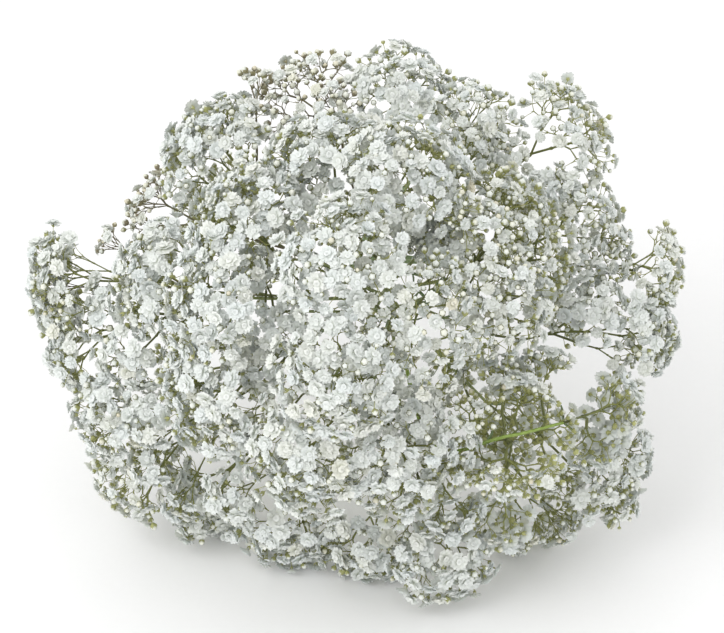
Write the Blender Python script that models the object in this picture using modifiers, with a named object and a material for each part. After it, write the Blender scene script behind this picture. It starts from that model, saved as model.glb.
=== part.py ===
"""A cut stem of double gypsophila, laid down on a flat surface.

The main stem lies with its cut end on the surface and climbs gently into a wide, airy head of small
white flowers. Branches leave the stem at its swollen nodes, and each branch carries a few sprays: a
twig that forks into arms, each arm ending in short stalks with a flower on every one. The head faces
forward and up, along OUT, and its lowest flowers rest on the surface beside the cut end.
"""

import math

import bmesh
import bpy
import numpy as np
from mathutils import Matrix, Vector

MM = 0.001
NAME = "gypsophila_stem"

# Gap between two pieces that meet
SEAT_GAP = 0.3 * MM

# The head: how far it faces up from level, and how high its middle is over the surface
HEAD_FACES_UP = math.radians(35)
HEAD_HEIGHT = 132 * MM
SIDE = Vector((1, 0, 0))
RISE = Vector((0, math.sin(HEAD_FACES_UP), math.cos(HEAD_FACES_UP)))
OUT = Vector((0, -math.cos(HEAD_FACES_UP), math.sin(HEAD_FACES_UP)))
HEAD_MIDDLE = Vector((0, 0, HEAD_HEIGHT))

# A direction that no stem, branch or spray runs along
ASKEW = Vector((0.31, 0.17, 0.93))

# The main stem, from its cut end to its top fork, in millimetres across, back and up
STEM_ROUTE = (
    (4, 432, 2.7),
    (5, 400, 2.7),
    (8, 330, 17),
    (13, 220, 52),
    (17, 110, 96),
    (19, 20, 137),
    (19, -27, 156),
)
STEM_FOOT_RADIUS = 2.6 * MM
STEM_TOP_RADIUS = 1.5 * MM
STEM_STEP = 24 * MM
STEM_SMOOTHNESS = 12
STEM_SIDES_STEP = 2
NODE_SWELL = 1.45
NODE_HALF_LENGTH = 3.5 * MM

# Branches leave the stem and sprays leave the branches at this angle, then bend away
LEAVING_ANGLE = math.radians(38)
COLLAR = 2.5 * MM
BEND_REACH = 0.42
BRANCH_FOOT_RADIUS = 1.25 * MM
BRANCH_TOP_RADIUS = 0.85 * MM
BRANCH_SHARE = 0.5
BRANCH_STEPS = 5
BRANCH_SIDES_STEP = 1
BRIGHT_STEPS = 4
SIDE_SPRAY_PLACES = (1.0, 0.8, 0.62)

# Sprays: a twig forks into arms, and an arm's hub into stalks, each rooted a little inside the last
TWIG_FOOT_RADIUS = 0.8 * MM
TWIG_FORK_RADIUS = 0.62 * MM
ARM_FOOT_RADIUS = 0.4 * MM
ARM_HUB_RADIUS = 0.54 * MM
STALK_FOOT_RADIUS = 0.32 * MM
STALK_RADIUS = 0.45 * MM
ROOT_DEPTH = 1.1 * MM
TWIG_STEPS = 2
TWIG_SIDES_STEP = 0
FORK_SHARE = 0.42
ARM_REACH = 0.5
HUB_DROP = 0.3
DOME_HEIGHT = 0.45
FACING_AHEAD = 1.1
FACING_SPREAD = 0.5
FLOWERS_PER_ARM = 2
GOLDEN_ANGLE = math.pi * (3 - math.sqrt(5))
FLOWER_RADIUS = 5.6 * MM
FLOWER_CUP_RADIUS = 1.9 * MM
FLOWER_DEPTH = 5.5 * MM
FLOWER_SIDES = 6
STALK_SIDES = 3
WELD = 0.01 * MM

# A spray is turned about its axis until it has this much room, past the first stretch of its twig
TURNS_TRIED = 24
ROOM_WANTED = 1.5 * MM
SAMPLE_STEP = 2.0 * MM
FREE_FOOT = 12 * MM

# Leaves
LEAF_WIDTH = 5.5 * MM
LEAF_FOOT_SHARE = 0.14
LEAF_BELLY = 0.75
LEAF_TIP_TAPER = 0.5
LEAF_TIP_SHARPNESS = 6
LEAF_THICKNESS = 0.5 * MM
LEAF_KEEL = 0.9 * MM
LEAF_ARCH = 0.16
LEAF_STEPS = 7
LEAF_LEAVING = math.radians(48)

# Every spray: the middle of its flowers and its radius in millimetres (to the side, up the head's
# face, out of the face, radius), and how many arms it has
SPRAYS = {
    "spray_top": (28, 137, 2, 35, 3),
    "spray_top_twiggy": (-32, 131, -8, 36, 3),
    "spray_top_right": (70, 122, 12, 28, 2),
    "spray_far_umbel": (117, 122, -8, 36, 3),
    "spray_right_shoulder": (133, 66, 8, 33, 3),
    "spray_right_high": (170, 40, -10, 28, 2),
    "spray_right_low": (169, 0, 4, 27, 2),
    "spray_right_gap": (140, -38, 28, 20, 2),
    "spray_lower_right": (143, -80, -12, 33, 3),
    "spray_bottom_right": (105, -110, -42, 29, 2),
    "spray_bottom_tip": (57, -137, 14, 33, 3),
    "spray_bottom": (8, -122, -14, 32, 3),
    "spray_bottom_left": (-38, -115, -25, 33, 3),
    "spray_floor_left": (-86, -94, -52, 33, 3),
    "spray_corner_left": (-130, -90, -26, 30, 2),
    "spray_left_low": (-140, -47, 6, 28, 2),
    "spray_left_lobe": (-161, -8, -12, 31, 3),
    "spray_left_lobe_top": (-171, 35, 2, 28, 2),
    "spray_left_notch": (-116, 26, 34, 30, 2),
    "spray_left_twiggy": (-119, 72, -6, 26, 2),
    "spray_peak_left": (-87, 114, 0, 33, 3),
    "spray_front_top": (26, 84, 92, 40, 4),
    "spray_front_top_left": (-24, 98, 62, 36, 3),
    "spray_front_right_high": (84, 60, 70, 40, 4),
    "spray_front_right": (76, 12, 92, 36, 3),
    "spray_front_right_low": (80, -68, 66, 36, 3),
    "spray_front_bottom": (26, -72, 84, 40, 4),
    "spray_front_bottom_left": (-34, -68, 86, 40, 4),
    "spray_front_left_low": (-82, -40, 68, 38, 4),
    "spray_front_left": (-78, 12, 92, 38, 3),
    "spray_front_left_high": (-64, 62, 78, 38, 3),
    "spray_heart_high": (-12, 38, 128, 38, 4),
    "spray_heart_right": (36, 0, 126, 36, 3),
    "spray_heart_low": (-14, -24, 134, 36, 4),
    "spray_back_left_high": (-84, 66, -58, 36, 3),
    "spray_back_right_high": (84, 70, -62, 36, 3),
    "spray_back_right_low": (86, -44, -64, 30, 3),
    "spray_back_left_low": (-96, -30, -66, 34, 3),
}

# Every branch: how far under the stem's top it leaves, in millimetres, and the sprays it carries
BRANCHES = {
    "branch_front_up": (22, ("spray_front_top", "spray_front_top_left")),
    "branch_front_down": (22, ("spray_front_bottom", "spray_front_bottom_left")),
    "branch_front_right": (36, ("spray_front_right_high", "spray_front_right")),
    "branch_front_left": (
        36,
        ("spray_front_left", "spray_front_left_high", "spray_front_left_low"),
    ),
    "branch_bright": (52, ("spray_right_gap", "spray_front_right_low")),
    "branch_upper_left": (
        72,
        ("spray_peak_left", "spray_left_twiggy", "spray_back_left_high"),
    ),
    "branch_lower_right": (72, ("spray_lower_right", "spray_bottom_right")),
    "branch_right": (88, ("spray_right_low", "spray_back_right_low")),
    "branch_left": (
        88,
        ("spray_left_lobe", "spray_left_lobe_top", "spray_left_notch"),
    ),
    "branch_right_high": (104, ("spray_right_high", "spray_right_shoulder")),
    "branch_left_low": (
        104,
        ("spray_left_low", "spray_corner_left", "spray_back_left_low"),
    ),
    "branch_upper_right": (
        120,
        ("spray_far_umbel", "spray_top_right", "spray_back_right_high"),
    ),
    "branch_lower_left": (120, ("spray_bottom_left", "spray_floor_left")),
    "branch_up": (136, ("spray_top", "spray_top_twiggy")),
    "branch_down": (136, ("spray_bottom_tip", "spray_bottom")),
}

# The sprays that the stem's own top carries
TOP_SPRAYS = ("spray_heart_low", "spray_heart_high", "spray_heart_right")
TOP_SPRAY_DROPS = (0, 5, 10)

# The branch that shows on the head's face lower right, through these places (side, up, out)
BRIGHT_ROUTE = ((40, -60, 52), (79, -56, 72), (112, -49, 52))

# Leaf pairs: how far under the stem's top, which way round and how long, in millimetres
LEAF_PAIRS = {
    "leaf_upper": (205, 20, 34),
    "leaf_lower": (305, 75, 46),
}

def head_place(side, rise, out):
    """A place in the head, given in millimetres along the head's own axes."""
    return HEAD_MIDDLE + (SIDE * side + RISE * rise + OUT * out) * MM


def curve_through(places, steps):
    """Points on a smooth curve that passes through every place."""
    ends = [2 * places[0] - places[1], *places, 2 * places[-1] - places[-2]]
    points = []
    for before, start, stop, after in zip(ends, ends[1:], ends[2:], ends[3:]):
        for step in range(steps):
            t = step / steps
            points.append(
                0.5
                * (
                    2 * start
                    + (stop - before) * t
                    + (2 * before - 5 * start + 4 * stop - after) * t**2
                    + (3 * start - before - 3 * stop + after) * t**3
                )
            )
    return points + [places[-1].copy()]


def bend(foot, leaving, stop, steps):
    """Points from foot to stop: straight along leaving for a short collar, then in a curve."""
    start = foot + leaving * COLLAR
    middle = start + leaving * (stop - start).length * BEND_REACH
    points = [foot]
    for step in range(steps + 1):
        t = step / steps
        points.append(start * (1 - t) ** 2 + middle * 2 * t * (1 - t) + stop * t**2)
    return points


class Path:
    """A route whose places and directions can be read at any distance along it."""

    def __init__(self, points):
        self.points = [p.copy() for p in points]
        self.along = [0.0]
        for a, b in zip(self.points, self.points[1:]):
            self.along.append(self.along[-1] + (b - a).length)
        self.length = self.along[-1]

    def at(self, distance):
        """The place and the direction at a distance from the start."""
        distance = min(max(distance, 0.0), self.length)
        i = 0
        while i < len(self.along) - 2 and self.along[i + 1] < distance:
            i += 1
        a = self.points[i]
        b = self.points[i + 1]
        share = (distance - self.along[i]) / (self.along[i + 1] - self.along[i])
        return a.lerp(b, share), (b - a).normalized()


def collection(name):
    made = bpy.data.collections.new(name)
    bpy.context.scene.collection.children.link(made)
    return made


def material(name, colour, roughness):
    made = bpy.data.materials.new(name)
    made.use_nodes = True
    shader = made.node_tree.nodes["Principled BSDF"]
    shader.inputs["Base Color"].default_value = (*colour, 1)
    shader.inputs["Roughness"].default_value = roughness
    shader.inputs["Metallic"].default_value = 0
    return made


def tube_curve(name, routes, sides_step):
    """A curve object with one tapered round tube for each route of points and radii."""
    curve = bpy.data.curves.new(name, "CURVE")
    curve.dimensions = "3D"
    curve.bevel_depth = MM
    curve.bevel_resolution = sides_step
    curve.use_fill_caps = True
    for points, radii in routes:
        spline = curve.splines.new("POLY")
        spline.points.add(len(points) - 1)
        for point, place, radius in zip(spline.points, points, radii):
            point.co = (*place, 1)
            point.radius = radius / curve.bevel_depth
    made = bpy.data.objects.new(name, curve)
    bpy.context.scene.collection.objects.link(made)
    return made


def finished(made, look):
    """Puts a piece in the plant's collection and under its origin, with its material."""
    for old in list(made.users_collection):
        old.objects.unlink(made)
    plant.objects.link(made)
    made.parent = origin
    made.data.materials.append(look)
    if made.type == "MESH":
        made.data.shade_smooth()
    return made


def tapered(count, first, last):
    return [first + (last - first) * i / (count - 1) for i in range(count)]


# Places already taken, as sampled points with the radius round each
taken_points = np.empty((0, 3))
taken_radii = np.empty(0)


def sampled(routes, skip=0.0):
    """Points along the routes, with their radii, leaving out the first stretch of the first route."""
    points = []
    radii = []
    for number, (route, sizes) in enumerate(routes):
        path = Path(route)
        count = max(int(path.length / SAMPLE_STEP), 1)
        for step in range(count + 1):
            distance = path.length * step / count
            if number == 0 and distance < skip:
                continue
            points.append(path.at(distance)[0])
            radii.append(np.interp(distance, path.along, sizes))
    return np.array(points), np.array(radii)


def room(points, radii):
    """The smallest distance from these points to the places already taken."""
    apart = np.linalg.norm(points[:, None] - taken_points[None], axis=2)
    return float((apart - radii[:, None] - taken_radii[None]).min())


def take(points, radii):
    global taken_points, taken_radii
    taken_points = np.vstack((taken_points, points))
    taken_radii = np.concatenate((taken_radii, radii))


def seat_beside(path, distance, radius_there, towards, radius):
    """Where a twig starts beside its carrier, and the direction it leaves in."""
    place, along = path.at(distance)
    across = towards - place
    across = (across - along * across.dot(along)).normalized()
    leaving = along * math.cos(LEAVING_ANGLE) + across * math.sin(LEAVING_ANGLE)
    cap_reach = radius * math.sqrt(1 - leaving.dot(across) ** 2)
    return place + across * (radius_there + SEAT_GAP + cap_reach), leaving


def seat_on_end(path, radius):
    """Where a twig goes on from its carrier's end, end to end across the seat gap."""
    place, along = path.at(path.length)
    return place + along * SEAT_GAP, along


def across_axes(axis):
    """Two directions at right angles to an axis and to each other."""
    first = axis.cross(ASKEW).normalized()
    return first, axis.cross(first).normalized()


def above_surface(place, facing):
    """Lifts a flower that would sink into the surface, as the surface does."""
    lean = math.sqrt(max(1 - facing.z**2, 0))
    half = facing.z * FLOWER_DEPTH / 2
    reach = max(FLOWER_RADIUS * lean - half, FLOWER_CUP_RADIUS * lean + half)
    return Vector((place.x, place.y, max(place.z, reach)))


def spray_routes(foot, leaving, middle, radius, arms, turn):
    """The twigs of a spray as routes, and the place and facing of each of its flowers."""
    fork = foot + (middle - foot) * FORK_SHARE
    stem = bend(foot, leaving, fork, TWIG_STEPS)
    axis = (middle - fork).normalized()
    first, second = across_axes(axis)
    onward = (stem[-1] - stem[-2]).normalized()
    routes = [(stem, tapered(len(stem), TWIG_FOOT_RADIUS, TWIG_FORK_RADIUS))]
    hubs = []
    for arm in range(arms):
        angle = turn + arm * math.tau / arms
        lean = first * math.cos(angle) + second * math.sin(angle)
        hub = middle + (lean * ARM_REACH - axis * HUB_DROP) * radius
        limb = [fork - onward * ROOT_DEPTH, hub]
        routes.append((limb, [ARM_FOOT_RADIUS, ARM_HUB_RADIUS]))
        hubs.append((hub, hub - (hub - fork).normalized() * ROOT_DEPTH))
    stalks = []
    flowers = []
    count = arms * FLOWERS_PER_ARM
    for number in range(count):
        reach = math.sqrt((number + 0.5) / count)
        angle = turn + number * GOLDEN_ANGLE
        way = first * math.cos(angle) + second * math.sin(angle)
        ahead = FACING_AHEAD - FACING_SPREAD * reach
        facing = (axis * ahead + way * reach).normalized()
        tip = middle + (way * reach + axis * DOME_HEIGHT * (1 - reach**2)) * radius
        tip = above_surface(tip, facing)
        root = min(hubs, key=lambda hub: (hub[0] - tip).length)[1]
        stalks.append((root, tip))
        flowers.append((tip, facing))
    return routes, stalks, flowers


def spray_samples(routes, stalks, flowers):
    rods = [(stalk, (STALK_RADIUS, STALK_RADIUS)) for stalk in stalks]
    points, radii = sampled(routes + rods, FREE_FOOT)
    heads = np.array([place for place, _ in flowers])
    return (
        np.vstack((points, heads)),
        np.concatenate((radii, np.full(len(heads), FLOWER_RADIUS))),
    )


def spray(name, foot, leaving):
    """One spray, turned about its own axis until it clears everything already in place."""
    side, rise, out, radius, arms = SPRAYS[name]
    middle = head_place(side, rise, out)
    best = None
    for step in range(TURNS_TRIED):
        turn = step * math.tau / arms / TURNS_TRIED
        made = spray_routes(foot, leaving, middle, radius * MM, arms, turn)
        samples = spray_samples(*made)
        free = room(*samples)
        if best is None or free > best[0]:
            best = (free, made, samples)
        if free > ROOM_WANTED:
            break
    free, made, samples = best
    print(f"{name}: {free / MM:.1f} mm of room, {len(made[2])} flowers")
    take(*samples)
    return joined(name, *made)


def keep_outer_skin(mesh):
    """Fills the tiny pockets that several twigs leave between them where they meet."""
    shape = bmesh.new()
    shape.from_mesh(mesh)
    unseen = set(shape.verts)
    skins = []
    while unseen:
        skin = [unseen.pop()]
        for vertex in skin:
            for edge in vertex.link_edges:
                other = edge.other_vert(vertex)
                if other in unseen:
                    unseen.discard(other)
                    skin.append(other)
        skins.append(skin)
    skins.sort(key=len)
    for pocket in skins[:-1]:
        bmesh.ops.delete(shape, geom=pocket, context="VERTS")
    shape.to_mesh(mesh)
    shape.free()


def add_stalk(shape, hub, tip):
    """A stalk from its hub to its flower, as a thin three-sided rod."""
    way = tip - hub
    bmesh.ops.create_cone(
        shape,
        segments=STALK_SIDES,
        cap_ends=True,
        radius1=STALK_FOOT_RADIUS,
        radius2=STALK_RADIUS,
        depth=way.length,
        matrix=Matrix.Translation(hub + way / 2) @ turned_to(way),
    )


def add_flower(shape, place, facing):
    """A flower head: a cup that opens to a flat round face."""
    bmesh.ops.create_cone(
        shape,
        segments=FLOWER_SIDES,
        cap_ends=True,
        radius1=FLOWER_CUP_RADIUS,
        radius2=FLOWER_RADIUS,
        depth=FLOWER_DEPTH,
        matrix=Matrix.Translation(place) @ turned_to(facing),
    )


def turned_to(way):
    """The rotation that turns +Z to a direction."""
    return way.to_track_quat("Z", "Y").to_matrix().to_4x4()


def joined(name, routes, stalks, flowers):
    """The twigs, stalks and flower heads of a spray, united into one closed piece."""
    curve = tube_curve(name + "_twigs", routes, TWIG_SIDES_STEP)
    seen = curve.evaluated_get(bpy.context.evaluated_depsgraph_get())
    twigs = bpy.data.meshes.new_from_object(seen)
    shape = bmesh.new()
    shape.from_mesh(twigs)
    bmesh.ops.remove_doubles(shape, verts=shape.verts, dist=WELD)
    for hub, tip in stalks:
        add_stalk(shape, hub, tip)
    shape.to_mesh(twigs)
    shape.clear()
    for place, facing in flowers:
        add_flower(shape, place, facing)
    heads = bpy.data.meshes.new(name + "_heads")
    shape.to_mesh(heads)
    shape.free()
    made = bpy.data.objects.new(name + "_joined", twigs)
    made.matrix_world = curve.matrix_world
    other = bpy.data.objects.new(name + "_heads", heads)
    for helper in (made, other):
        bpy.context.scene.collection.objects.link(helper)
    union = made.modifiers.new("union", "BOOLEAN")
    union.operation = "UNION"
    union.solver = "EXACT"
    union.use_self = True
    union.object = other
    seen = made.evaluated_get(bpy.context.evaluated_depsgraph_get())
    result = bpy.data.objects.new(name, bpy.data.meshes.new_from_object(seen))
    keep_outer_skin(result.data)
    bpy.context.scene.collection.objects.link(result)
    for helper in (made, other, curve):
        bpy.data.objects.remove(helper)
    return finished(result, petals)


def stem_radius(distance, length, nodes):
    """The stem's radius at a distance from its cut end, swollen at its nodes."""
    plain = STEM_FOOT_RADIUS + (STEM_TOP_RADIUS - STEM_FOOT_RADIUS) * distance / length
    swell = 0.0
    for node in nodes:
        swell = max(swell, 1 - abs(distance - node) / NODE_HALF_LENGTH)
    return plain * (1 + (NODE_SWELL - 1) * swell)


def laid_stem():
    """The stem's own route, which the surface holds up at the cut end."""
    places = [Vector(place) * MM for place in STEM_ROUTE]
    points = curve_through(places, STEM_SMOOTHNESS)
    for point in points:
        point.z = max(point.z, STEM_FOOT_RADIUS)
    return Path(points)


def main_stem(path, nodes):
    """The stem as one tube, with points close together only where a node swells it."""
    stops = {0.0, path.length}
    for node in nodes:
        stops |= {node - NODE_HALF_LENGTH, node, node + NODE_HALF_LENGTH}
    stops = sorted(stop for stop in stops if 0 <= stop <= path.length)
    distances = []
    for a, b in zip(stops, stops[1:]):
        parts = max(round((b - a) / STEM_STEP), 1)
        distances += [a + (b - a) * i / parts for i in range(parts)]
    distances.append(path.length)
    points = [path.at(distance)[0] for distance in distances]
    radii = [stem_radius(distance, path.length, nodes) for distance in distances]
    take(*sampled([(points, radii)]))
    return finished(tube_curve("main_stem", [(points, radii)], STEM_SIDES_STEP), bark)


def branch_route(name, path, distance, nodes, sprays):
    """A branch from the stem to the place where its sprays part, as points."""
    middles = [head_place(*SPRAYS[spray_name][:3]) for spray_name in sprays]
    aim = sum(middles, Vector()) / len(middles)
    here = stem_radius(distance, path.length, nodes)
    if name == "branch_bright":
        places = [head_place(*place) for place in BRIGHT_ROUTE]
        foot, leaving = seat_beside(path, distance, here, places[0], BRANCH_FOOT_RADIUS)
        return [foot] + curve_through([foot + leaving * COLLAR, *places], BRIGHT_STEPS)
    foot, leaving = seat_beside(path, distance, here, aim, BRANCH_FOOT_RADIUS)
    stop = foot + (aim - foot) * BRANCH_SHARE
    return bend(foot, leaving, stop, BRANCH_STEPS)


def branch(name, route):
    radii = tapered(len(route), BRANCH_FOOT_RADIUS, BRANCH_TOP_RADIUS)
    points, sizes = sampled([(route, radii)], FREE_FOOT)
    print(f"{name}: {room(points, sizes) / MM:.1f} mm of room")
    take(points, sizes)
    return finished(tube_curve(name, [(route, radii)], BRANCH_SIDES_STEP), green)


def leaf(name, place, along, across, reach, length):
    """A narrow pointed leaf from the stem's surface, keeled along its middle and arching over."""
    leaving = (along * math.cos(LEAF_LEAVING) + across * math.sin(LEAF_LEAVING)).normalized()
    up = leaving.cross(along.cross(across)).normalized()
    sideways = leaving.cross(up).normalized()
    shape = bmesh.new()
    bmesh.ops.create_grid(shape, x_segments=LEAF_STEPS, y_segments=2, size=0.5)
    foot = place + across * (reach + SEAT_GAP + LEAF_THICKNESS / 2)
    for vertex in shape.verts:
        share = vertex.co.x + 0.5
        belly = math.sin(math.pi * share**LEAF_BELLY)
        width = LEAF_WIDTH * (LEAF_FOOT_SHARE + (1 - LEAF_FOOT_SHARE) * belly)
        width *= 1 - LEAF_TIP_TAPER * share**LEAF_TIP_SHARPNESS
        edge = vertex.co.y * 2
        arch = -LEAF_ARCH * length * share**2
        keel = LEAF_KEEL * abs(edge) * math.sin(math.pi * share)
        vertex.co = (
            foot
            + leaving * length * share
            + sideways * edge * width / 2
            + up * (arch + keel)
        )
    mesh = bpy.data.meshes.new(name)
    shape.to_mesh(mesh)
    shape.free()
    made = bpy.data.objects.new(name, mesh)
    bpy.context.scene.collection.objects.link(made)
    solid = made.modifiers.new("thickness", "SOLIDIFY")
    solid.thickness = LEAF_THICKNESS
    solid.offset = 0
    return finished(made, blade)


def leaf_pair(name, path, distance, nodes, turn, length):
    place, along = path.at(distance)
    first, second = across_axes(along)
    reach = stem_radius(distance, path.length, nodes)
    for side, sign in (("left", 1), ("right", -1)):
        across = (first * math.cos(turn) + second * math.sin(turn)) * sign
        leaf(f"{name}_{side}", place, along, across, reach, length)


def stand_on_origin():
    """Moves the plant so that its origin is under the middle of its box, on the surface."""
    bpy.context.view_layer.update()
    seen = bpy.context.evaluated_depsgraph_get()
    corners = []
    for piece in plant.objects:
        if piece.type == "EMPTY":
            continue
        solid = piece.evaluated_get(seen)
        mesh = solid.to_mesh()
        corners += [solid.matrix_world @ vertex.co for vertex in mesh.vertices]
        solid.to_mesh_clear()
    places = np.array(corners)
    low = places.min(0)
    high = places.max(0)
    print("size in mm:", np.round((high - low) / MM, 1))
    origin.location = (-(low[0] + high[0]) / 2, -(low[1] + high[1]) / 2, -low[2])


for old in list(bpy.data.objects):
    bpy.data.objects.remove(old)

plant = collection(NAME)
origin = bpy.data.objects.new("plant_origin", None)
plant.objects.link(origin)

bark = material("stem_green", (0.23, 0.31, 0.10), 0.55)
green = material("twig_green", (0.29, 0.39, 0.13), 0.5)
petals = material("petal_white", (0.84, 0.86, 0.85), 0.7)
blade = material("leaf_green", (0.20, 0.29, 0.14), 0.55)

stem_path = laid_stem()
drops = {row[0] for row in (*BRANCHES.values(), *LEAF_PAIRS.values())}
nodes = [stem_path.length - drop * MM for drop in sorted(drops)]
main_stem(stem_path, nodes)

branch_paths = {}
for branch_name, (drop, carried) in BRANCHES.items():
    distance = stem_path.length - drop * MM
    route = branch_route(branch_name, stem_path, distance, nodes, carried)
    branch(branch_name, route)
    branch_paths[branch_name] = Path(route)

for spray_name, drop in zip(TOP_SPRAYS, TOP_SPRAY_DROPS):
    aim = head_place(*SPRAYS[spray_name][:3])
    if drop:
        distance = stem_path.length - drop * MM
        here = stem_radius(distance, stem_path.length, nodes)
        foot, leaving = seat_beside(stem_path, distance, here, aim, TWIG_FOOT_RADIUS)
    else:
        foot, leaving = seat_on_end(stem_path, TWIG_FOOT_RADIUS)
    spray(spray_name, foot, leaving)

for branch_name, (_, carried) in BRANCHES.items():
    path = branch_paths[branch_name]
    for spray_name, share in zip(carried, SIDE_SPRAY_PLACES):
        aim = head_place(*SPRAYS[spray_name][:3])
        if share < 1:
            here = BRANCH_FOOT_RADIUS + (BRANCH_TOP_RADIUS - BRANCH_FOOT_RADIUS) * share
            foot, leaving = seat_beside(
                path, path.length * share, here, aim, TWIG_FOOT_RADIUS
            )
        else:
            foot, leaving = seat_on_end(path, TWIG_FOOT_RADIUS)
        spray(spray_name, foot, leaving)

for pair_name, (drop, turn, length) in LEAF_PAIRS.items():
    distance = stem_path.length - drop * MM
    leaf_pair(pair_name, stem_path, distance, nodes, math.radians(turn), length * MM)

stand_on_origin()
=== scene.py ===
# %% [markdown]
# This script dresses a cut stem of double gypsophila, laid down on a flat surface. The solid model
# gives the main stem, its branches, four leaves and 38 sprays as plain solids. Here each of them
# gets its real look: more than three thousand small double flowers, their buds and green cups, and
# the fine forked twigs that carry them. The stem, branches, leaves and sprays are read from the
# solids. The smaller blooms between them stand in a table, matched to the photograph.

import math

import bpy
import numpy as np
from mathutils.kdtree import KDTree
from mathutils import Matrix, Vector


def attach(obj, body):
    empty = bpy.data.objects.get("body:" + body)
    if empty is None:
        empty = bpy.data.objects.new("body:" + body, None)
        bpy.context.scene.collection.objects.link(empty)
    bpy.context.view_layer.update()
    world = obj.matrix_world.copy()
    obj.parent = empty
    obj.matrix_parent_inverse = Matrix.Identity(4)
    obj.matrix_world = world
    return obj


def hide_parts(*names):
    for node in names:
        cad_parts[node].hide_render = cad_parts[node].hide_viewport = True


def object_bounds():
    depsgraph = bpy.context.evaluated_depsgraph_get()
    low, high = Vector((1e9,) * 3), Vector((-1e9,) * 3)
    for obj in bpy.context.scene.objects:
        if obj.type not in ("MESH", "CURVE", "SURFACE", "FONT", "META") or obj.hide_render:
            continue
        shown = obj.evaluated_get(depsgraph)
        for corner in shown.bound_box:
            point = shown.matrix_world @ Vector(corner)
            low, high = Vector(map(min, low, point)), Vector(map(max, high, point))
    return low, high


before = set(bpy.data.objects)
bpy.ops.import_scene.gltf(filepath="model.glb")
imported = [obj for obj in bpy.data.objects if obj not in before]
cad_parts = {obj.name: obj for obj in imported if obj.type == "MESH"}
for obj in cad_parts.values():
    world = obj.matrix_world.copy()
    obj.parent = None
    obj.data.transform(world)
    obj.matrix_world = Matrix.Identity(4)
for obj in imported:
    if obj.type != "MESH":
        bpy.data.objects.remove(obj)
cad_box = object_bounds()

MM = 0.001
SEED = 7
rng = np.random.default_rng(SEED)


def placed(name, data):
    """A new object in the scene."""
    made = bpy.data.objects.new(name, data)
    bpy.context.scene.collection.objects.link(made)
    return made


print("The solid model's box:", cad_box)

# %% [markdown]
# The photograph looks straight at the flower head. The head faces forward and up by 35 degrees, so
# the camera stands in front of it and looks down by the same angle. A long lens from far away keeps
# the near flowers from looking larger than those at the rim. The width that the picture covers at
# the head is the real size of one picture point times the picture's width.

# %% Camera
HEAD_FACES_UP = math.radians(35)
HEAD_MIDDLE = np.array((0.3, -143.4, 132)) * MM
SIDE = np.array((1.0, 0, 0))
RISE = np.array((0, math.sin(HEAD_FACES_UP), math.cos(HEAD_FACES_UP)))
OUT = np.array((0, -math.cos(HEAD_FACES_UP), math.sin(HEAD_FACES_UP)))
PICTURE_WIDTH = 724
POINT_SIZE = 0.5625 * MM
CAMERA_DISTANCE = 2.0
AIM_ASIDE = 2.2 * MM
AIM_ABOVE = 9.3 * MM
SENSOR = 36

lens = bpy.data.cameras.new("camera")
lens.sensor_width = SENSOR
lens.lens = SENSOR * CAMERA_DISTANCE / (PICTURE_WIDTH * POINT_SIZE)
camera = placed("camera", lens)
aim = HEAD_MIDDLE + SIDE * AIM_ASIDE + RISE * AIM_ABOVE
camera.location = aim + OUT * CAMERA_DISTANCE
camera.rotation_euler = (math.pi / 2 - HEAD_FACES_UP, 0, 0)
bpy.context.scene.camera = camera
print(f"The camera's lens is {lens.lens:.0f} mm")

# %% [markdown]
# A material is a small network of nodes. Written out node by node it is long and hard to read, so
# one class wraps a node's output. Python's own plus, minus and times then add the Math nodes, and
# one method adds any other kind of node from its settings and the values of its sockets.

# %% A shorthand for materials
class Signal:
    """What comes out of one socket. Arithmetic on it adds Math nodes to its material."""

    def __init__(self, look, socket):
        self.look = look
        self.socket = socket

    def maths(self, operation, first, second):
        return self.look.node("ShaderNodeMath", {"operation": operation}, {0: first, 1: second})

    def __add__(self, other):
        return self.maths("ADD", self, other)

    def __sub__(self, other):
        return self.maths("SUBTRACT", self, other)

    def __rsub__(self, other):
        return self.maths("SUBTRACT", other, self)

    def __mul__(self, other):
        return self.maths("MULTIPLY", self, other)

    def __pow__(self, other):
        return self.maths("POWER", self, other)

    def __lt__(self, other):
        return self.maths("LESS_THAN", self, other)

    __radd__ = __add__
    __rmul__ = __mul__


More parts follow.
